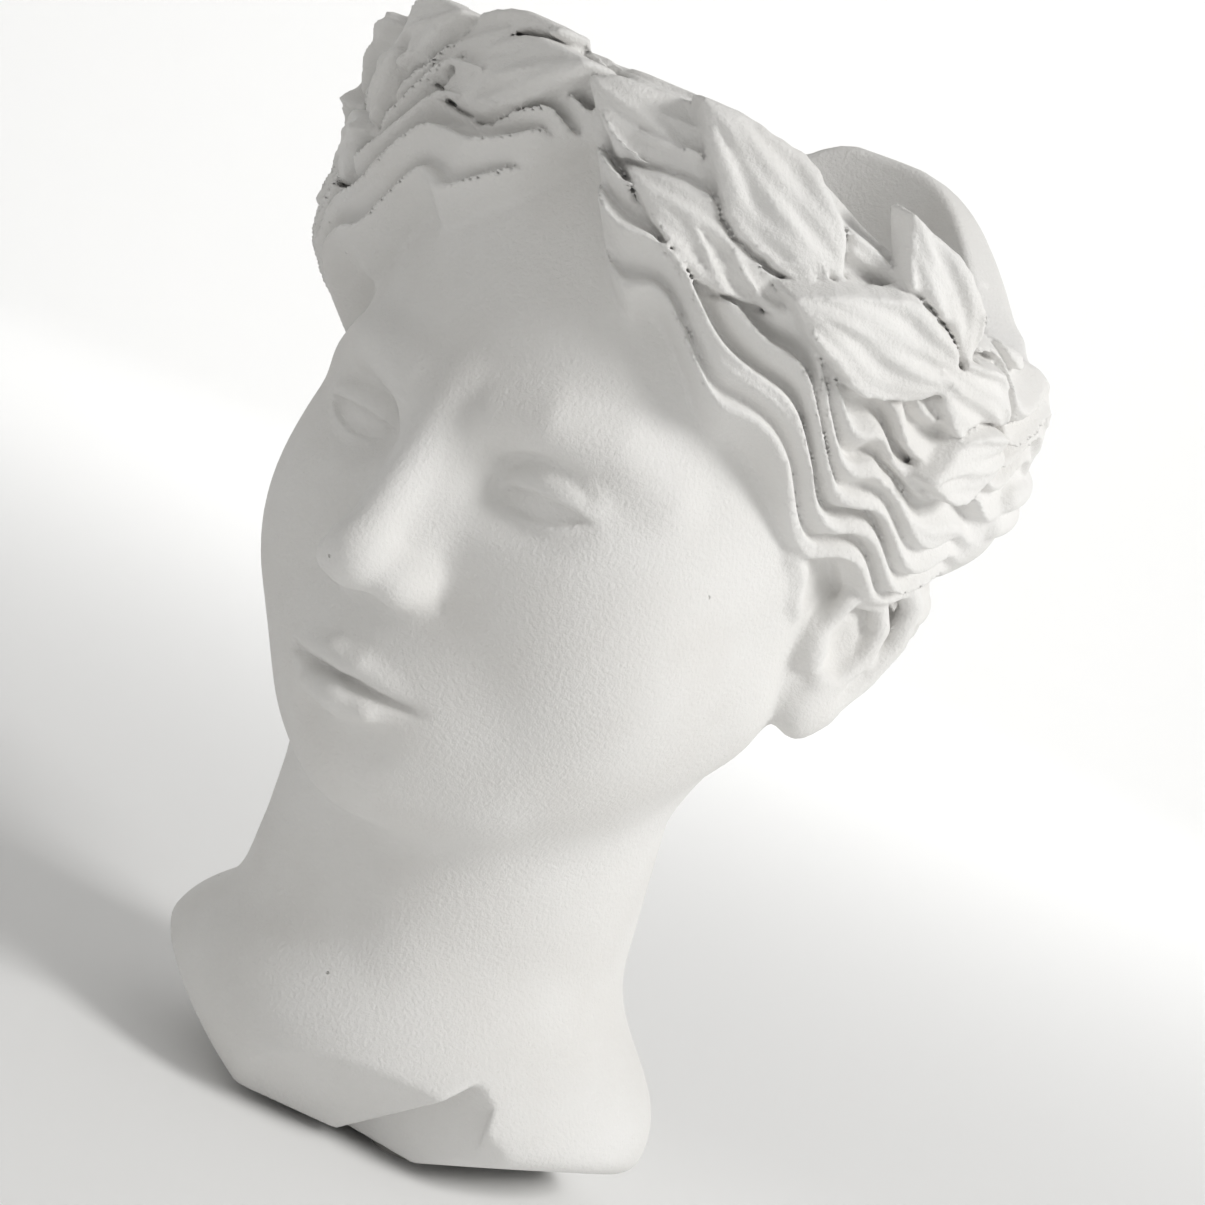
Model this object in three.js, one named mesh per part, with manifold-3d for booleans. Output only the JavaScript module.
// Sculptural head planter: a classical head cast in white plaster stone, with parted wavy hair,
// a leaf wreath round the open top, a thick neck and a base cut in facets like a studio bust.
// Millimetres, +Z up, the face looks toward -Y and its left ear is toward +X. The origin lies on
// the ground under the middle of the whole outline, at the underside of the foot pads.
//
// The casting is modelled like clay: soft shapes are pressed together in a grid of distances
// (negative inside), the zero surface is drawn as triangles, and edges that carry no form are
// collapsed. The planting bowl, the drain hole and the flat base are then cut as exact solids.
import * as THREE from 'three';
import { edgeTable, triTable } from 'three/addons/objects/MarchingCubes.js';
import { mergeVertices } from 'three/addons/utils/BufferGeometryUtils.js';
import ManifoldModule from 'manifold-3d';

// Overall sizes, standing on the pads. The head is modelled near these sizes and then drawn
// out to them; the plug and the pads keep their own size.
const OVERALL_WIDTH = 179;
const OVERALL_DEPTH = 190.4;
const OVERALL_HEIGHT = 262.6;
const BASE_Z = 2.5;            // underside of the casting, above the ground by the pads
const HEAD_CENTRE = [0, -18, 160];
const HEAD_PITCH = 9;          // degrees the head looks down

// Height of the rim at turns from the parting: level over the face, low behind the ears, and
// raised in two lobes of rolled hair at the back
const RIM = [
  { turn: -180, z: 262 },
  { turn: -158, z: 260 },
  { turn: -141, z: 245 },
  { turn: -130, z: 241 },
  { turn: -118, z: 227 },
  { turn: -85, z: 226 },
  { turn: -55, z: 244 },
  { turn: 25, z: 244 },
  { turn: 45, z: 231 },
  { turn: 66, z: 226 },
  { turn: 120, z: 223 },
  { turn: 140, z: 229 },
  { turn: 150, z: 239 },
  { turn: 161, z: 248 },
  { turn: 172, z: 259 },
  { turn: 180, z: 262 },
];
const RIM_SHOULDER = 16;       // depth over which the hair rounds in to the rim

// Planting bowl: height, half width, half depth and middle of each cross-section
const BOWL_FLOOR_Z = 24;
const BOWL = [
  { z: 24, rx: 22, ry: 22, y: 0 },
  { z: 30, rx: 24, ry: 24, y: -1 },
  { z: 80, rx: 24, ry: 24, y: -9 },
  { z: 110, rx: 25, ry: 25, y: -13 },
  { z: 135, rx: 33, ry: 35, y: -10 },
  { z: 170, rx: 50, ry: 55, y: -8 },
  { z: 210, rx: 63, ry: 66, y: -9 },
  { z: 243, rx: 68, ry: 67, y: -12 },
  { z: 275, rx: 73, ry: 69, y: -15 },
];
const DRAIN_DIAMETER = 14;

// Plug and pads
const PLUG_GAP = 0.3;
const PLUG_SHAFT_LENGTH = 15;
const PLUG_FLANGE_DIAMETER = 24;
const PLUG_FLANGE_HEIGHT = 3;
const PLUG_RING_RADIUS = 5;
const PLUG_RING_WIRE = 1.4;
const PAD_DIAMETER = 12;
const PAD_HEIGHT = 2.2;
const PAD_PLACES = [[20, -22], [27, 25], [-22, 25], [-14, -27]];

// Hair: the hair mass grows outward with height, as half width, front and back reach
// (in the frame of the head, whose zero is midway between the ears)
const HAIR_LOFT = [
  { z: -45, side: 40, front: -50, back: 52 },
  { z: -30, side: 52, front: -58, back: 72 },
  { z: 0, side: 68, front: -66, back: 90 },
  { z: 30, side: 82, front: -74, back: 102 },
  { z: 60, side: 86, front: -74, back: 105 },
  { z: 90, side: 86, front: -70, back: 106 },
  { z: 115, side: 84, front: -64, back: 104 },
];
const HAIR_MIDDLE_X = -3;      // the hair is a little fuller on the right of the head
const HAIRLINE_Z = 64;         // height of the hairline, which rises and falls along the head
const HAIRLINE = [
  { y: -90, fall: 13 },
  { y: -70, fall: 0 },
  { y: -20, fall: -36 },
  { y: 24, fall: -40 },
  { y: 44, fall: -75 },
];
const HAIRLINE_SPREAD = 0.34;  // how far it drops per millimetre sideways
const PARTING_X = 9;
const PARTING_TURN = 7;        // degrees the parting stands off the middle
const PARTING_PEAK = 19;
const PARTING_WIDTH = 9;
const LOCK_SPACING = 8.6;
const LOCK_DEPTH = 3.4;
const GROOVE_ROUNDING = 0.3;   // as a share of half a lock
const STRAND_ALLOWANCE = 0.7;  // room for strands finer than this model shows
const WAVE_HEIGHT = 3.8;
const WAVE_RATE = 13.5;        // waves per radian round the head, times two pi
const ROLL_HEIGHTS = [52, 16, -16];
const ROLL_RADII = [15, 22, 13];
const ROLL_LIFTS = [-2, 3, 3];
const ROLL_SIDE_LIFT = 5;      // further out where the rolls start behind the ears
const ROLL_STRANDS = 5;

// Wreath leaves: turn from the parting, height, rise of the tip, length, width, lift off the
// hair, and two small tilts. Angles are in degrees.
const LEFT_LEAVES = [
  { turn: 17, z: 85, rise: 20, length: 36, width: 17, lift: 3, roll: 4, pitch: 3 },
  { turn: 29, z: 70, rise: 18, length: 40, width: 15, lift: 2, roll: 0, pitch: 3 },
  { turn: 33, z: 82, rise: 33, length: 46, width: 21, lift: 4, roll: 6, pitch: 4 },
  { turn: 60, z: 73, rise: 44, length: 34, width: 14, lift: 3, roll: 0, pitch: 0 },
  { turn: 70, z: 62, rise: -14, length: 40, width: 15, lift: 2, roll: 0, pitch: 0 },
  { turn: 58, z: 56, rise: 14, length: 54, width: 24, lift: 5, roll: -6, pitch: 5 },
  { turn: 82, z: 37, rise: 26, length: 34, width: 20, lift: 4, roll: 0, pitch: 6 },
];
const RIGHT_LEAVES = [
  { turn: 5, z: 79, rise: 23, length: 38, width: 20, lift: 4, roll: 4, pitch: 4 },
  { turn: 11, z: 87, rise: 30, length: 33, width: 17, lift: 3, roll: 4, pitch: 2 },
  { turn: 29, z: 81, rise: 29, length: 40, width: 20, lift: 3, roll: 4, pitch: 3 },
  { turn: 38, z: 68, rise: 8, length: 40, width: 20, lift: 4, roll: 0, pitch: 6 },
  { turn: 54, z: 80, rise: 30, length: 42, width: 20, lift: 4, roll: 4, pitch: 0 },
  { turn: 64, z: 62, rise: 4, length: 44, width: 22, lift: 5, roll: 0, pitch: 6 },
  { turn: 80, z: 48, rise: 14, length: 40, width: 20, lift: 3, roll: 4, pitch: 2 },
  { turn: 92, z: 36, rise: -6, length: 40, width: 20, lift: 4, roll: 0, pitch: 6 },
  { turn: 112, z: 38, rise: -10, length: 38, width: 19, lift: 4, roll: 0, pitch: 4 },
];

// Modelling grid and the triangles kept for the casting
const GRID_STEP = 1.6;
const GRID_MARGIN = 14;
const GRID_LOW = [
  -GRID_MARGIN - Math.max(...HAIR_LOFT.map((row) => row.side)),
  HEAD_CENTRE[1] - 96 - GRID_MARGIN,
  BASE_Z - 10,
];
const GRID_HIGH = [
  -GRID_LOW[0],
  HEAD_CENTRE[1] + Math.max(...HAIR_LOFT.map((row) => row.back)) + GRID_MARGIN / 2,
  Math.max(...RIM.map((row) => row.z)) + GRID_MARGIN,
];
const CAST_TRIANGLES = 11400;
const FACE_IMPORTANCE = 4;

const { sin, cos, abs, min, max, sqrt, hypot, exp, PI } = Math;
const radians = THREE.MathUtils.degToRad;
const clamp = THREE.MathUtils.clamp;

// The frame of the head: zero midway between the ears, -Y forward, tipped down by the pitch

const pitchCos = cos(radians(HEAD_PITCH));
const pitchSin = sin(radians(HEAD_PITCH));

function headToWorld([x, y, z]) {
  return [
    x + HEAD_CENTRE[0],
    pitchCos * y - pitchSin * z + HEAD_CENTRE[1],
    pitchSin * y + pitchCos * z + HEAD_CENTRE[2],
  ];
}

// A shape is a signed distance and the box that holds it

function ellipsoid(centre, radii) {
  const at = (x, y, z) => {
    const u = (x - centre[0]) / radii[0];
    const v = (y - centre[1]) / radii[1];
    const w = (z - centre[2]) / radii[2];
    const reach = sqrt(u * u + v * v + w * w);
    const slope = hypot(u / radii[0], v / radii[1], w / radii[2]) + 1e-6;
    return reach * (reach - 1) / slope;
  };
  return { at, low: centre.map((c, i) => c - radii[i]), high: centre.map((c, i) => c + radii[i]) };
}

function taperedRod(start, end, startRadius, endRadius) {
  const along = end.map((e, i) => e - start[i]);
  const lengthSquared = along[0] ** 2 + along[1] ** 2 + along[2] ** 2;
  const at = (x, y, z) => {
    const dx = x - start[0];
    const dy = y - start[1];
    const dz = z - start[2];
    const t = clamp((dx * along[0] + dy * along[1] + dz * along[2]) / lengthSquared, 0, 1);
    const gap = sqrt((dx - t * along[0]) ** 2 + (dy - t * along[1]) ** 2 + (dz - t * along[2]) ** 2);
    return gap - startRadius - (endRadius - startRadius) * t;
  };
  const radius = max(startRadius, endRadius);
  return {
    at,
    low: start.map((s, i) => min(s, end[i]) - radius),
    high: start.map((s, i) => max(s, end[i]) + radius),
  };
}

// The same shape on both sides of the face
function mirrored(shape) {
  const reach = max(abs(shape.low[0]), abs(shape.high[0]));
  return {
    at: (x, y, z) => shape.at(abs(x), y, z),
    low: [-reach, shape.low[1], shape.low[2]],
    high: [reach, shape.high[1], shape.high[2]],
  };
}

// A shape given in the frame of the head
function onHead(shape) {
  const at = (x, y, z) => {
    const dy = y - HEAD_CENTRE[1];
    const dz = z - HEAD_CENTRE[2];
    return shape.at(x - HEAD_CENTRE[0], pitchCos * dy + pitchSin * dz, pitchCos * dz - pitchSin * dy);
  };
  const corners = [];
  for (const x of [shape.low[0], shape.high[0]]) {
    for (const y of [shape.low[1], shape.high[1]]) {
      for (const z of [shape.low[2], shape.high[2]]) corners.push(headToWorld([x, y, z]));
    }
  }
  const axes = [0, 1, 2];
  return {
    at,
    low: axes.map((i) => min(...corners.map((c) => c[i]))),
    high: axes.map((i) => max(...corners.map((c) => c[i]))),
  };
}

const headPair = (shape) => onHead(mirrored(shape));

function softMin(a, b, soft) {
  const near = max(soft - abs(a - b), 0);
  return min(a, b) - (soft > 0 ? near * near / (4 * soft) : 0);
}

// The clay: a grid of distances that shapes are added to and cut from
class Clay {
  constructor(low, high, step) {
    this.low = low;
    this.step = step;
    this.size = low.map((l, i) => Math.ceil((high[i] - l) / step) + 1);
    this.field = new Float32Array(this.size[0] * this.size[1] * this.size[2]).fill(60);
    this.spare = new Float32Array(this.field.length).fill(60);
  }

  // Calls visit(index, x, y, z) for each grid point in a box
  sweep(low, high, visit) {
    const first = low.map((l, i) => max(0, Math.floor((l - this.low[i]) / this.step)));
    const last = high.map((h, i) => min(this.size[i] - 1, Math.ceil((h - this.low[i]) / this.step)));
    for (let k = first[2]; k <= last[2]; k++) {
      for (let j = first[1]; j <= last[1]; j++) {
        const row = (k * this.size[1] + j) * this.size[0];
        const y = this.low[1] + j * this.step;
        const z = this.low[2] + k * this.step;
        for (let i = first[0]; i <= last[0]; i++) visit(row + i, this.low[0] + i * this.step, y, z);
      }
    }
  }

  blend(shape, margin, mix) {
    const { field } = this;
    const low = shape.low.map((l) => l - margin);
    const high = shape.high.map((h) => h + margin);
    this.sweep(low, high, (index, x, y, z) => {
      field[index] = mix(field[index], shape.at(x, y, z));
    });
  }

  add(shape, soft) {
    this.blend(shape, soft + this.step, (a, b) => softMin(a, b, soft));
  }

  cut(shape, soft) {
    this.blend(shape, soft + this.step, (a, b) => -softMin(-a, b, soft));
  }

  keep(shape, soft) {
    this.blend(shape, 0, (a, b) => -softMin(-a, -b, soft));
  }

  // A bent tube through points of the head frame, with a radius at each point
  addTube(points, radii, soft) {
    const { spare, field } = this;
    const pieces = [];
    for (let i = 1; i < points.length; i++) {
      const ends = [headToWorld(points[i - 1]), headToWorld(points[i])];
      pieces.push(taperedRod(ends[0], ends[1], radii[i - 1], radii[i]));
    }
    const margin = soft + this.step;
    const grown = pieces.map(({ at, low, high }) => ({
      at,
      low: low.map((l) => l - margin),
      high: high.map((h) => h + margin),
    }));
    for (const piece of grown) {
      this.sweep(piece.low, piece.high, (index, x, y, z) => {
        spare[index] = min(spare[index], piece.at(x, y, z));
      });
    }
    for (const piece of grown) {
      this.sweep(piece.low, piece.high, (index) => {
        if (spare[index] === 60) return;
        field[index] = softMin(field[index], spare[index], soft);
        spare[index] = 60;
      });
    }
  }

  addTubePair(points, radii, soft) {
    this.addTube(points, radii, soft);
    this.addTube(points.map(([x, y, z]) => [-x, y, z]), radii, soft);
  }

  cutGroovePair(points, radii, soft) {
    const { field } = this;
    field.forEach((value, i) => { field[i] = -value; });
    this.addTubePair(points, radii, soft);
    field.forEach((value, i) => { field[i] = -value; });
  }
}

// The bare head: skull, face, lower face, chin, cheeks and jaw
function modelHead(clay) {
  clay.add(onHead(ellipsoid([0, 8, 42], [61, 77, 84])), 0);
  clay.add(onHead(ellipsoid([0, -18, -4], [58, 58, 60])), 22);
  clay.add(onHead(ellipsoid([0, -27, -41], [47, 46, 35])), 22);
  clay.add(onHead(ellipsoid([0, -59, -65], [16, 14, 12])), 18);
  clay.add(headPair(ellipsoid([29, -46, -20], [23, 20, 26])), 20);
  clay.add(headPair(taperedRod([42, -8, -32], [20, -46, -58], 13, 12)), 20);
}

// A plane that faces outward and down at a turn from the front, through two points given as
// distance from the middle and height
function facet(turn, upper, lower, soft, clay) {
  const run = lower[0] - upper[0];
  const drop = lower[1] - upper[1];
  const length = hypot(run, drop);
  const out = -drop / length;
  const up = run / length;
  const normal = [out * sin(radians(turn)), -out * cos(radians(turn)), up];
  const offset = out * upper[0] + up * upper[1];
  const at = (x, y, z) => x * normal[0] + y * normal[1] + z * normal[2] - offset;
  clay.keep({ at, low: [-90, -90, -10], high: [90, 90, 90] }, soft);
}

// The plane through three points, facing down
function planeThrough(a, b, c) {
  const [from, one, two] = [a, b, c].map((p) => new THREE.Vector3(...p));
  const normal = one.sub(from).cross(two.sub(from)).normalize();
  if (normal.z > 0) normal.negate();
  return { normal: normal.toArray(), offset: normal.dot(from) };
}

// Neck and chest with the sawn facets of a studio bust
function modelNeckAndChest(clay) {
  clay.add(taperedRod([-2, 1, 20], [-2, -22, 128], 45, 41), 18);
  clay.add(ellipsoid([-2.5, -1.5, 24], [66, 58, 34]), 14);
  clay.add(mirrored(taperedRod([32, -4, 112], [11, -36, 48], 6, 5)), 14);
  clay.cut(ellipsoid([-38, -38, 52], [10, 11, 13]), 14);
  facet(-62, [59, 27], [31, 2], 1.5, clay);
  facet(-66, [56, 19], [29, 1], 1.2, clay);
  facet(-100, [62, 30], [44, 2], 4, clay);
  facet(82, [61, 15], [34, 2], 4, clay);
  facet(150, [56, 30], [46, 2], 8, clay);
  facet(-150, [56, 30], [46, 2], 6, clay);
  facet(4, [57, 14], [45, 1], 1.5, clay);
  facet(30, [59, 14], [43, 1], 1.5, clay);

  // A notch sawn out of the lower front, with a narrow wall and a wide flank
  const flank = planeThrough([45.4, -39.5, 31.5], [41.7, -25.3, 9.9], [21, -38.6, 9.9]);
  const wall = planeThrough([45.4, -39.5, 31.5], [21, -38.6, 9.9], [16.5, -31.5, 9.9]);
  const beyond = ({ normal, offset }, x, y, z) => (
    normal[0] * x + normal[1] * y + normal[2] * z - offset);
  const notch = (x, y, z) => -min(beyond(flank, x, y, z), beyond(wall, x, y, z));
  clay.cut({ at: notch, low: [-60, -90, -10], high: [80, -10, 60] }, 0.8);

  const below = (x, y, z) => BASE_Z - 6 - z;
  clay.keep({ at: below, low: [-90, -90, -20], high: [90, 90, 20] }, 0);
}

function modelBrowsAndEyes(clay) {
  const eye = [24.5, -52.5, 5];
  const eyeRadius = 16;
  const eyeHalfWidth = 12.5;
  clay.cut(headPair(ellipsoid([24.5, -85, 7], [18.5, 20, 10.5])), 7);
  const brow = [[5, -72, 12], [11, -73, 18.5], [23, -70, 22], [34, -62, 21], [43, -52, 14]];
  clay.addTubePair(brow, [3, 3.6, 3.8, 3.4, 3], 9);
  clay.add(headPair(ellipsoid(eye, [eyeRadius, eyeRadius, eyeRadius])), 1);

  // A lid is a thin shell over the eyeball that ends at a curved line
  const lid = (thickness, edge, side) => {
    const radius = eyeRadius + thickness;
    const ball = ellipsoid(eye, [radius, radius, radius]);
    const at = (x, y, z) => {
      const across = (x - eye[0]) / eyeHalfWidth;
      const line = eye[2] + edge * (1 - across * across) + 0.9 * across;
      return max(ball.at(x, y, z), 0.9 * side * (line - z));
    };
    return headPair({ ...ball, at });
  };
  clay.add(lid(1.9, 2.4, 1), 1.2);
  clay.add(lid(1.3, -3.8, -1), 1.2);
  const crease = [[14, -67, 10.5], [19, -69, 12.8], [25, -69.6, 13.6], [31, -67, 12.6], [35, -64, 10.5]];
  clay.cutGroovePair(crease, [0.2, 1, 1.2, 1, 0.2], 2.5);
}

function modelNose(clay) {
  clay.add(onHead(taperedRod([0, -66, 20], [0, -77, -15], 6, 9.5)), 8);
  clay.add(onHead(taperedRod([0, -71.5, 22], [0, -89.5, -14], 4.2, 5)), 5);
  clay.add(onHead(ellipsoid([0, -89, -17.5], [7.4, 7.4, 6.4])), 5);
  clay.add(headPair(ellipsoid([8.6, -80.5, -20], [5, 8.6, 5.6])), 4.5);
  clay.cut(headPair(ellipsoid([5, -84.5, -26.2], [2.3, 4, 2.6])), 2);
}

function modelMouth(clay) {
  clay.add(onHead(ellipsoid([0, -61, -43], [25, 18, 17])), 12);
  const upperLip = [[0, -80.2, -41.6], [3.8, -80.4, -40.6], [10, -77.6, -42], [18, -71.5, -45]];
  const lowerLip = [[0, -79.6, -50], [7, -78.2, -49.8], [15, -72.5, -47]];
  clay.addTubePair(upperLip, [2.8, 3, 2.6, 1], 3);
  clay.addTubePair(lowerLip, [4.8, 4.5, 1.8], 2);

  // The line between the lips is pressed in and fades at the corners
  const line = (x, y, z) => {
    if (y > -62) return 0;
    const height = -45.2 + 0.9 * exp(-((x / 6) ** 2));
    return 2.6 * exp(-(((z - height) / 1.2) ** 2)) / (1 + exp(abs(x) - 18));
  };
  const pressed = onHead({ at: line, low: [-26, -100, -56], high: [26, -60, -36] });
  clay.blend(pressed, 0, (a, b) => a + b);
  clay.cut(onHead(taperedRod([0, -85, -30], [0, -84.6, -35.5], 1.4, 1.8)), 3);
  clay.cut(headPair(taperedRod([0, -84, -58], [10, -80, -57], 4.6, 3)), 7);
}

function modelEars(clay) {
  const drop = -4;
  const lowered = (points) => points.map(([x, y, z]) => [x, y, z + drop]);
  const helix = lowered([[62.5, -1, -4], [66, 0, 5], [69, 6, 11], [70.5, 14, 11],
    [71, 21, 5], [70, 22, -5], [67.5, 18, -15], [65, 10, -23]]);
  const innerFold = lowered([[66.5, 5, 4], [68, 11, 4], [68.5, 15, -2],
    [67.5, 14, -10], [65.5, 8, -16], [64.5, 2, -15]]);
  clay.add(headPair(ellipsoid([58, 11, -8 + drop], [7.5, 14, 19])), 6);
  clay.addTubePair(helix, [2, 2.4, 2.7, 2.9, 2.9, 2.7, 2.6, 2.6], 3);
  clay.addTubePair(innerFold, [1.5, 2.2, 2.4, 2.2, 2.2, 1.8], 3);
  clay.cut(headPair(ellipsoid([67, 6, -7.5 + drop], [4.5, 4.4, 6.5])), 2);
  clay.add(headPair(ellipsoid([62.5, 5, -24 + drop], [4.6, 6, 7])), 6);
  clay.add(headPair(ellipsoid([63, -1.5, -9 + drop], [3, 3, 4.5])), 3);
}

// Value of a key between the rows of a table, where another key has a given value
function between(rows, by, value, key) {
  let next = rows.findIndex((row) => row[by] > value);
  if (next < 0) next = rows.length - 1;
  next = max(next, 1);
  const [a, b] = [rows[next - 1], rows[next]];
  return a[key] + (b[key] - a[key]) * clamp((value - a[by]) / (b[by] - a[by]), 0, 1);
}

function hairSection(z) {
  const front = between(HAIR_LOFT, 'z', z, 'front');
  const back = between(HAIR_LOFT, 'z', z, 'back');
  const side = between(HAIR_LOFT, 'z', z, 'side');
  return { side, middle: (front + back) / 2, depth: (back - front) / 2 };
}

// Height above the hairline, which peaks at the parting
function aboveHairline(x, y, z) {
  const peak = PARTING_PEAK * exp(-(((x - PARTING_X) / PARTING_WIDTH) ** 2));
  const fall = between(HAIRLINE, 'y', y, 'fall');
  return z - HAIRLINE_Z - fall + HAIRLINE_SPREAD * abs(x) - peak;
}

function rimHeight(x, y) {
  return between(RIM, 'turn', Math.atan2(x, -y) * 180 / PI, 'z');
}

// The turn from the parting, and the wavy distance across the locks from the hairline up
function alongAndAcross(x, y, z, section) {
  const around = Math.atan2((x - HAIR_MIDDLE_X) / section.side, (section.middle - y) / section.depth);
  const turned = around - radians(PARTING_TURN) * max(0, 1 - abs(around) / 1.9) ** 2;
  const turn = abs(turned);
  const fan = min(1, 0.6 + turn);
  const level = aboveHairline(x, y, z) / fan;
  const phase = WAVE_RATE * turn + 0.04 * level + (turned > 0 ? 0.5 : 0);
  return { turn, fan, across: level - WAVE_HEIGHT * sin(phase) * min(1, turn * 2.6) };
}

// Rounded ridges with narrow grooves between them, one for each whole number
function ridged(place, sharpness) {
  const fromGroove = 1 - abs(2 * (place - Math.floor(place)) - 1);
  return 1 - (1 - (hypot(fromGroove, GROOVE_ROUNDING) - GROOVE_ROUNDING)) ** sharpness;
}

// Height of the wavy locks, with grooves that come and go, and smooth where the rolls take over
function hairRelief({ turn, across, fan }) {
  const wandering = across + 1.3 * sin(3.1 * turn + 0.15 * across) + 0.8 * sin(7.7 * turn - 0.2 * across);
  const lock = wandering / LOCK_SPACING;
  const groove = 0.75 + 0.4 * sin(2.9 * turn + 2.4 * Math.round(lock));
  const height = LOCK_DEPTH * (1.15 - groove * (1 - ridged(lock, 2.6))) + STRAND_ALLOWANCE;
  const ahead = clamp((2.05 - turn) / 0.4, 0, 1);
  const whole = LOCK_DEPTH + (height - LOCK_DEPTH) * ahead;
  return whole * min(1, 0.25 + fan) - 3 * exp(-((turn / 0.05) ** 2));
}

// The point of the hair surface at a turn from the parting (in radians) and a height
function hairSurface(turn, z, lift, side) {
  const section = hairSection(z);
  return [
    HAIR_MIDDLE_X + side * (section.side + lift) * sin(turn),
    section.middle - (section.depth + lift) * cos(turn),
    z,
  ];
}

// The mass of hair over the skull, with wavy locks from the parting to behind the ears
function modelHair(clay) {
  const at = (x, y, z) => {
    const [, worldY, worldZ] = headToWorld([x, y, z]);
    const nearRim = max(worldZ - rimHeight(x, worldY) + RIM_SHOULDER, 0);
    const section = hairSection(z);
    const inset = 4 + 0.025 * nearRim ** 2;
    const side = section.side - inset;
    const depth = section.depth - inset;
    const reach = hypot((x - HAIR_MIDDLE_X) / side, (y - section.middle) / depth) - 1;
    let shell = reach * min(side, depth) * 0.93;
    let edge = aboveHairline(x, y, z);
    if (abs(shell) < 9 && edge > -12) {
      const place = alongAndAcross(x, y, z, { ...section, side, depth });
      shell -= hairRelief(place);
      edge = place.across * place.fan;
    }
    return -softMin(-max(shell, -34 - z), 0.8 * edge, 4);
  };
  clay.add(onHead({ at, low: [-92, -88, -40], high: [92, 114, 130] }), 2);
  clay.addTubePair([[61, -22, 9], [61.5, -17, 2], [61.5, -13, -3], [61, -10, -7]], [2, 2.2, 1.7, 0.8], 1.5);
}

// Three thick rolls of hair, one above the other, round the back of the head
function modelRolls(clay) {
  const steps = 20;
  for (const side of [-1, 1]) {
    ROLL_HEIGHTS.forEach((rollZ, roll) => {
      const swell = (t) => ROLL_RADII[roll] * (0.7 + 0.3 * sin(min(1, t * 1.3) * PI * 0.6));
      const path = (t, radius, twist) => hairSurface(
        radians(102 + 78 * t),
        rollZ + 8 * (1 - t) + radius * sin(twist),
        ROLL_LIFTS[roll] + ROLL_SIDE_LIFT * (1 - t) - ROLL_RADII[roll] + radius * cos(twist),
        side,
      );
      const times = Array.from({ length: steps + 1 }, (_, i) => i / steps);
      clay.addTube(times.map((t) => path(t, 0, 0)), times.map((t) => swell(t) - 2), 5);
      for (let strand = 0; strand < ROLL_STRANDS; strand++) {
        const twist = (t) => radians(-70 + 36 * strand + 25 * t);
        const line = times.map((t) => path(t, swell(t) - 4, twist(t)));
        clay.addTube(line, times.map(() => 5), 1.2);
      }
    });
  }
}

// A leaf with a pressed midrib and curved blade, laid on the hair with its tip to the front
function modelLeaf(clay, leaf, side) {
  const turn = radians(leaf.turn);
  const on = (t, z) => new THREE.Vector3(...hairSurface(t, z, 0, side));
  const forward = on(turn - 0.02, leaf.z).sub(on(turn + 0.02, leaf.z)).normalize();
  const upward = on(turn, leaf.z + 2).sub(on(turn, leaf.z - 2)).normalize();
  const outward = new THREE.Vector3().crossVectors(upward, forward).multiplyScalar(side).normalize();
  const rise = radians(leaf.rise);
  const flat = forward.clone().multiplyScalar(cos(rise)).addScaledVector(upward, sin(rise)).normalize();
  const pitch = radians(leaf.pitch);
  const along = flat.clone().multiplyScalar(cos(pitch)).addScaledVector(outward, sin(pitch));
  const normal = outward.clone().multiplyScalar(cos(pitch)).addScaledVector(flat, -sin(pitch));
  const across = new THREE.Vector3().crossVectors(normal, along).normalize();
  if (across.z < 0) across.negate();
  const roll = radians(leaf.roll);
  const [tiltedAcross, tiltedNormal] = [
    across.clone().multiplyScalar(cos(roll)).addScaledVector(normal, -sin(roll)),
    normal.clone().multiplyScalar(cos(roll)).addScaledVector(across, sin(roll)),
  ];
  const root = on(turn, leaf.z).addScaledVector(tiltedNormal, leaf.lift)
    .addScaledVector(along, -leaf.length / 2);

  const halfAt = (u) => {
    const t = clamp(u / leaf.length, 0, 1);
    return leaf.width * 0.5 * abs(sin(PI * t ** 0.82)) ** 0.7 + 0.3;
  };
  const outline = (u, v, grow) => (
    max((abs(v) - halfAt(u) - grow) * 0.85, -u - grow, u - leaf.length - grow));
  const blade = (u, v) => {
    const bend = -((u - leaf.length / 2) ** 2) / 150 + 2.6 * (u / leaf.length - 0.5) - 0.02 * v * v;
    return bend - 1.3 * exp(-((v / 1.4) ** 2));
  };
  const body = (u, v, n) => {
    const surface = blade(u, v);
    return -softMin(-outline(u, v, 0), -max(n - surface - 1.6, surface - 6.5 - n), 1.2);
  };
  const moat = (u, v, n) => max(outline(u, v, 2), abs(n - blade(u, v) + 1) - 3);

  const middle = root.clone().addScaledVector(along, leaf.length / 2).toArray();
  const reach = leaf.length * 0.62;
  const point = new THREE.Vector3();
  const laidOnHair = (shape) => onHead({
    at: (x, y, z) => {
      point.set(x, y, z).sub(root);
      return shape(point.dot(along), point.dot(tiltedAcross), point.dot(tiltedNormal));
    },
    low: middle.map((m) => m - reach),
    high: middle.map((m) => m + reach),
  });
  clay.cut(laidOnHair(moat), 1.8);
  clay.add(laidOnHair(body), 0.6);
}

function trimRim(clay) {
  const at = (x, y, z) => z - rimHeight(x, y);
  clay.keep({ at, low: [GRID_LOW[0], GRID_LOW[1], 200], high: GRID_HIGH }, 4);
}

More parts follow.
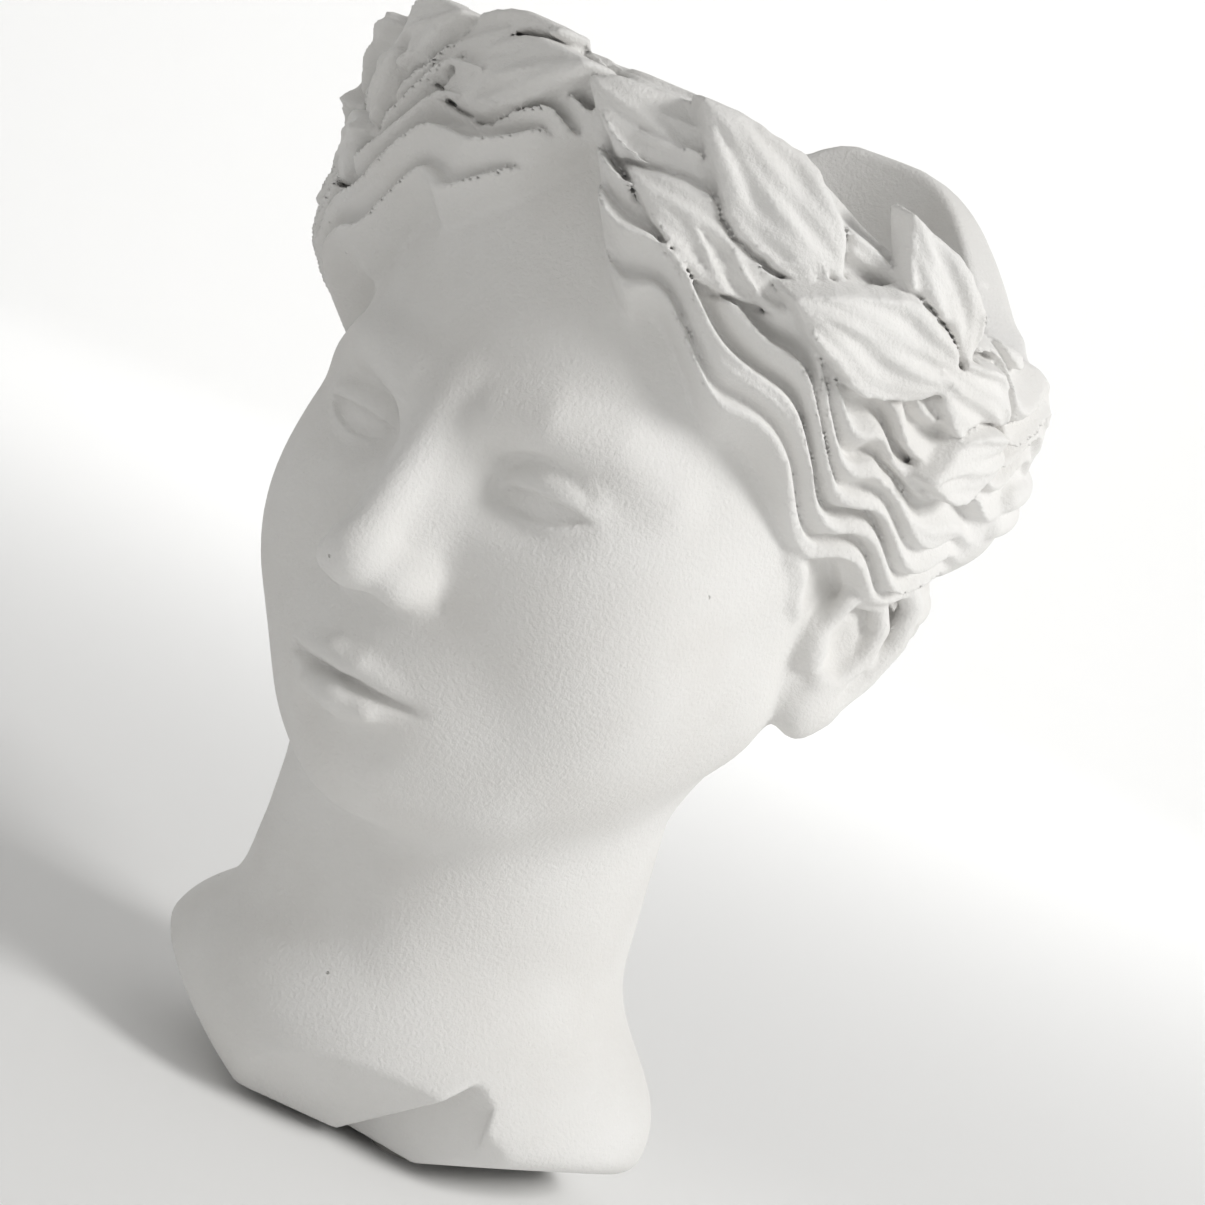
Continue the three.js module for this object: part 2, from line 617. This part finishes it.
// The zero surface of the clay as triangles, by marching cubes
function drawSurface(clay) {
  const { field, size, low, step } = clay;
  const strides = [1, size[0], size[0] * size[1]];
  const corners = [0, 1, 1 + strides[1], strides[1]];
  corners.push(...corners.map((c) => c + strides[2]));
  const cornerPlace = [[0, 0, 0], [1, 0, 0], [1, 1, 0], [0, 1, 0], [0, 0, 1], [1, 0, 1], [1, 1, 1], [0, 1, 1]];
  const edges = [[0, 0], [1, 1], [3, 0], [0, 1], [4, 0], [5, 1], [7, 0], [4, 1], [0, 2], [1, 2], [2, 2], [3, 2]];
  const vertexOfEdge = new Int32Array(field.length * 3).fill(-1);
  const points = [];
  const triangles = [];
  const onEdge = new Int32Array(12);
  for (let k = 0; k < size[2] - 1; k++) {
    for (let j = 0; j < size[1] - 1; j++) {
      for (let i = 0; i < size[0] - 1; i++) {
        const cell = i + j * strides[1] + k * strides[2];
        let code = 0;
        for (let c = 0; c < 8; c++) if (field[cell + corners[c]] < 0) code |= 1 << c;
        if (edgeTable[code] === 0) continue;
        for (let e = 0; e < 12; e++) {
          if (!(edgeTable[code] & (1 << e))) continue;
          const [corner, axis] = edges[e];
          const start = cell + corners[corner];
          const slot = start * 3 + axis;
          if (vertexOfEdge[slot] < 0) {
            const a = field[start];
            const b = field[start + strides[axis]];
            const place = [i, j, k].map((n, d) => n + cornerPlace[corner][d]);
            place[axis] += clamp(a / (a - b), 0.04, 0.96);
            vertexOfEdge[slot] = points.length / 3;
            points.push(...place.map((n, d) => low[d] + n * step));
          }
          onEdge[e] = vertexOfEdge[slot];
        }
        for (let t = code * 16; triTable[t] >= 0; t += 3) {
          triangles.push(onEdge[triTable[t]], onEdge[triTable[t + 2]], onEdge[triTable[t + 1]]);
        }
      }
    }
  }
  return { points: Float64Array.from(points), triangles: Int32Array.from(triangles) };
}

// Keeps the largest connected surface, without crumbs and sealed bubbles
function largestShell({ points, triangles }) {
  const parent = Int32Array.from({ length: points.length / 3 }, (_, i) => i);
  const rootOf = (start) => {
    let v = start;
    while (parent[v] !== v) {
      parent[v] = parent[parent[v]];
      v = parent[v];
    }
    return v;
  };
  for (let i = 0; i < triangles.length; i += 3) {
    parent[rootOf(triangles[i + 1])] = rootOf(triangles[i]);
    parent[rootOf(triangles[i + 2])] = rootOf(triangles[i]);
  }
  const count = new Map();
  for (const v of triangles) count.set(rootOf(v), (count.get(rootOf(v)) ?? 0) + 1);
  const [largest] = [...count].reduce((a, b) => (b[1] > a[1] ? b : a));
  return { points, triangles: triangles.filter((v) => rootOf(v) === largest) };
}

// A binary heap of edges, the cheapest first
class EdgeHeap {
  constructor() {
    this.items = [];
  }

  push(item) {
    const { items } = this;
    let place = items.length;
    items.push(item);
    while (place > 0) {
      const parent = (place - 1) >> 1;
      if (items[parent].cost <= item.cost) break;
      items[place] = items[parent];
      place = parent;
    }
    items[place] = item;
  }

  pop() {
    const { items } = this;
    const top = items[0];
    const last = items.pop();
    if (items.length === 0) return top;
    let place = 0;
    for (;;) {
      let child = place * 2 + 1;
      if (child >= items.length) break;
      if (child + 1 < items.length && items[child + 1].cost < items[child].cost) child++;
      if (items[child].cost >= last.cost) break;
      items[place] = items[child];
      place = child;
    }
    items[place] = last;
    return top;
  }
}

// The symmetric matrix of squared distance to a plane, as ten numbers
function planeQuadric(a, b, c, d, weight) {
  return [a * a, a * b, a * c, a * d, b * b, b * c, b * d, c * c, c * d, d * d].map((q) => q * weight);
}

function quadricError(q, x, y, z) {
  return q[0] * x * x + 2 * q[1] * x * y + 2 * q[2] * x * z + 2 * q[3] * x
    + q[4] * y * y + 2 * q[5] * y * z + 2 * q[6] * y + q[7] * z * z + 2 * q[8] * z + q[9];
}

// The point of least error, or null where the surface is too flat to tell
function bestPoint(q) {
  const m = new THREE.Matrix3().set(q[0], q[1], q[2], q[1], q[4], q[5], q[2], q[5], q[7]);
  const size = q[0] + q[4] + q[7];
  if (abs(m.determinant()) < 1e-4 * size ** 3) return null;
  return new THREE.Vector3(-q[3], -q[6], -q[8]).applyMatrix3(m.invert()).toArray();
}

// Collapses the edges that matter least until a number of triangles is left
function collapseEdges({ points, triangles }, target, importance) {
  const count = points.length / 3;
  const faces = Array.from({ length: count }, () => new Set());
  const quadrics = Array.from({ length: count }, () => new Array(10).fill(0));
  const stamp = new Int32Array(count);
  const corner = [new THREE.Vector3(), new THREE.Vector3(), new THREE.Vector3()];
  const faceNormal = (a, b, c) => {
    [a, b, c].forEach((v, i) => corner[i].fromArray(points, v * 3));
    corner[1].sub(corner[0]);
    corner[2].sub(corner[0]);
    return new THREE.Vector3().crossVectors(corner[1], corner[2]);
  };
  for (let f = 0; f < triangles.length / 3; f++) {
    const vertices = triangles.subarray(f * 3, f * 3 + 3);
    const normal = faceNormal(...vertices);
    const area = normal.length();
    normal.normalize();
    const weight = area * importance(...corner[0].toArray());
    const plane = planeQuadric(normal.x, normal.y, normal.z, -normal.dot(corner[0]), weight);
    for (const v of vertices) {
      faces[v].add(f);
      plane.forEach((value, i) => { quadrics[v][i] += value; });
    }
  }

  const neighbours = (v) => {
    const found = new Set();
    for (const f of faces[v]) for (let i = 0; i < 3; i++) found.add(triangles[f * 3 + i]);
    found.delete(v);
    return found;
  };
  const heap = new EdgeHeap();
  const offer = (a, b) => {
    const q = quadrics[a].map((value, i) => value + quadrics[b][i]);
    const ends = [a, b].map((v) => [points[v * 3], points[v * 3 + 1], points[v * 3 + 2]]);
    const middle = ends[0].map((value, i) => (value + ends[1][i]) / 2);
    const length = hypot(...ends[0].map((value, i) => value - ends[1][i]));
    const best = bestPoint(q);
    const near = best && hypot(...best.map((value, i) => value - middle[i])) < length;
    const place = near ? best : middle;
    const cost = quadricError(q, ...place) + 1e-4 * length * length;
    heap.push({ cost, a, b, place, stamps: stamp[a] + stamp[b], q });
  };
  for (let v = 0; v < count; v++) for (const n of neighbours(v)) if (n > v) offer(v, n);

  const turnsOver = (v, gone, place) => {
    for (const f of faces[v]) {
      const ids = triangles.subarray(f * 3, f * 3 + 3);
      if (ids.includes(gone)) continue;
      const before = faceNormal(...ids);
      const kept = points.slice(v * 3, v * 3 + 3);
      points.set(place, v * 3);
      const after = faceNormal(...ids);
      points.set(kept, v * 3);
      if (after.dot(before) < 0.3 * after.length() * before.length() || after.length() < 0.02) return true;
    }
    return false;
  };

  let left = triangles.length / 3;
  while (left > target && heap.items.length > 0) {
    const { a, b, place, stamps, q } = heap.pop();
    if (faces[a].size === 0 || faces[b].size === 0 || stamps !== stamp[a] + stamp[b]) continue;
    const around = neighbours(a);
    if (!around.has(b)) continue;
    const shared = [...neighbours(b)].filter((v) => around.has(v));
    if (shared.length !== 2 || turnsOver(a, b, place) || turnsOver(b, a, place)) continue;
    for (const f of [...faces[b]]) {
      const ids = triangles.subarray(f * 3, f * 3 + 3);
      if (ids.includes(a)) {
        for (const v of ids) faces[v].delete(f);
        left--;
      } else {
        ids[ids.indexOf(b)] = a;
        faces[a].add(f);
      }
    }
    faces[b].clear();
    points.set(place, a * 3);
    quadrics[a] = q;
    stamp[a]++;
    for (const n of neighbours(a)) offer(a, n);
  }

  const kept = new Set();
  for (const set of faces) for (const f of set) kept.add(f);
  const order = new Map();
  const indices = [];
  const positions = [];
  for (const f of kept) {
    for (const v of triangles.subarray(f * 3, f * 3 + 3)) {
      if (!order.has(v)) {
        order.set(v, order.size);
        positions.push(...points.subarray(v * 3, v * 3 + 3));
      }
      indices.push(order.get(v));
    }
  }
  return { positions, indices };
}

// Solids for joining and cutting

const wasm = await ManifoldModule();
wasm.setup();

function solidOf(vertProperties, triVerts) {
  return new wasm.Manifold(new wasm.Mesh({
    numProp: 3,
    vertProperties: Float32Array.from(vertProperties),
    triVerts: Uint32Array.from(triVerts),
  }));
}

function solidFrom(geometry) {
  const bare = geometry.clone();
  bare.deleteAttribute('normal');
  bare.deleteAttribute('uv');
  const merged = mergeVertices(bare, 1e-4);
  return solidOf(merged.attributes.position.array, merged.index.array);
}

function geometryOf(solid) {
  const { vertProperties, triVerts } = solid.getMesh();
  const geometry = new THREE.BufferGeometry();
  geometry.setAttribute('position', new THREE.BufferAttribute(vertProperties, 3));
  geometry.setIndex(new THREE.BufferAttribute(triVerts, 1));
  geometry.computeVertexNormals();
  return geometry;
}

// The room of the planting bowl: ellipses joined from the floor to above the rim
function bowlSolid(stretch) {
  const around = 36;
  const drawn = (row, x, y) => [
    x * stretch.x,
    (row.y + y) * stretch.y,
    BOWL_FLOOR_Z + (row.z - BOWL_FLOOR_Z) * stretch.z,
  ];
  const rings = BOWL.flatMap((row) => Array.from({ length: around }, (_, i) => {
    const turn = 2 * PI * i / around;
    return drawn(row, row.rx * cos(turn), row.ry * sin(turn));
  }));
  const last = BOWL.length - 1;
  const floorCentre = rings.length;
  const points = [...rings, drawn(BOWL[0], 0, 0), drawn(BOWL[last], 0, 0)];
  const faces = [];
  for (let i = 0; i < around; i++) {
    const j = (i + 1) % around;
    for (let ring = 0; ring < last; ring++) {
      const [a, b] = [ring * around + i, ring * around + j];
      faces.push(a, b, b + around, a, b + around, a + around);
    }
    faces.push(floorCentre, j, i);
    faces.push(floorCentre + 1, last * around + i, last * around + j);
  }
  return solidOf(points.flat(), faces);
}

function upright(geometry, x, y, z) {
  return geometry.rotateX(PI / 2).translate(x, y, z);
}

// How much the modelled head is drawn out to reach the overall sizes
function stretchTo({ min: low, max: high }) {
  return new THREE.Vector3(
    OVERALL_WIDTH / (high[0] - low[0]),
    OVERALL_DEPTH / (high[1] - low[1]),
    (OVERALL_HEIGHT - BASE_Z) / (high[2] - BASE_Z),
  );
}

function castBody() {
  const clay = new Clay(GRID_LOW, GRID_HIGH, GRID_STEP);
  modelHead(clay);
  modelNeckAndChest(clay);
  modelBrowsAndEyes(clay);
  modelNose(clay);
  modelMouth(clay);
  modelEars(clay);
  modelHair(clay);
  modelRolls(clay);
  trimRim(clay);
  for (const leaf of LEFT_LEAVES) modelLeaf(clay, leaf, 1);
  for (const leaf of RIGHT_LEAVES) modelLeaf(clay, leaf, -1);

  const importance = (x, y, z) => {
    const isFace = y < -70 && abs(x) < 45 && z > 95 && z < 190;
    const isHidden = z < BASE_Z - 2;
    return isFace ? FACE_IMPORTANCE : isHidden ? 0.02 : 1;
  };
  const { positions, indices } = collapseEdges(largestShell(drawSurface(clay)), CAST_TRIANGLES, importance);
  const head = solidOf(positions, indices);
  const unchanged = new THREE.Vector3(1, 1, 1);
  const box = head.subtract(bowlSolid(unchanged)).boundingBox();
  const stretch = stretchTo(box);

  const depth = OVERALL_HEIGHT;
  const ground = new THREE.BoxGeometry(2 * OVERALL_WIDTH, 2 * OVERALL_DEPTH, depth)
    .translate(0, 0, BASE_Z - depth / 2);
  const drainRadius = DRAIN_DIAMETER / 2;
  const drain = upright(new THREE.CylinderGeometry(drainRadius, drainRadius, 3 * BOWL_FLOOR_Z, 32), 0, 0, 0);
  const solid = head
    .translate([0, 0, -BASE_Z])
    .scale(stretch.toArray())
    .translate([0, 0, BASE_Z])
    .subtract(solidFrom(ground))
    .subtract(bowlSolid(stretch))
    .subtract(solidFrom(drain));
  const middle = [0, 1].map((i) => (box.min[i] + box.max[i]) / 2 * stretch.getComponent(i));
  return { solid, stretch, middle };
}

// Rubber plug: a shaft in the drain hole, a flange on the bowl floor and a ring to pull it by
function plugSolid() {
  const bottom = BOWL_FLOOR_Z - PLUG_SHAFT_LENGTH;
  const seat = BOWL_FLOOR_Z + PLUG_GAP;
  const shaft = DRAIN_DIAMETER / 2 - PLUG_GAP;
  const flange = PLUG_FLANGE_DIAMETER / 2;
  const top = seat + PLUG_FLANGE_HEIGHT;
  const profile = [[0, bottom], [shaft - 1, bottom], [shaft, bottom + 3], [shaft, seat], [flange, seat],
    [flange, top - 1], [flange - 1, top], [0, top]].map(([r, z]) => new THREE.Vector2(r, z));
  const body = upright(new THREE.LatheGeometry(profile, 32), 0, 0, 0);
  const ring = new THREE.TorusGeometry(PLUG_RING_RADIUS, PLUG_RING_WIRE, 10, 28);
  upright(ring, 0, 0, top + PLUG_RING_RADIUS - 1);
  return solidFrom(body).add(solidFrom(ring));
}

const plaster = new THREE.MeshStandardMaterial({ color: 0xe9e7e3, roughness: 0.9, metalness: 0 });
const plugRubber = new THREE.MeshStandardMaterial({ color: 0x4a4a48, roughness: 0.8, metalness: 0 });
const padRubber = new THREE.MeshStandardMaterial({ color: 0xd8d6d0, roughness: 0.85, metalness: 0 });

const casting = castBody();
const planter = new THREE.Group();
planter.position.set(-casting.middle[0], -casting.middle[1], 0);

function place(name, geometry, material) {
  const mesh = new THREE.Mesh(geometry, material);
  mesh.name = name;
  planter.add(mesh);
  return mesh;
}

place('cast_body', geometryOf(casting.solid), plaster);
place('drain_plug', geometryOf(plugSolid()), plugRubber);
PAD_PLACES.forEach(([x, y], i) => {
  const pad = upright(new THREE.CylinderGeometry(PAD_DIAMETER / 2 - 0.6, PAD_DIAMETER / 2, PAD_HEIGHT, 28), 0, 0, 0);
  const mesh = place(`foot_pad_${i + 1}`, pad, padRubber);
  mesh.position.set(x * casting.stretch.x, y * casting.stretch.y, PAD_HEIGHT / 2);
});

export default planter;
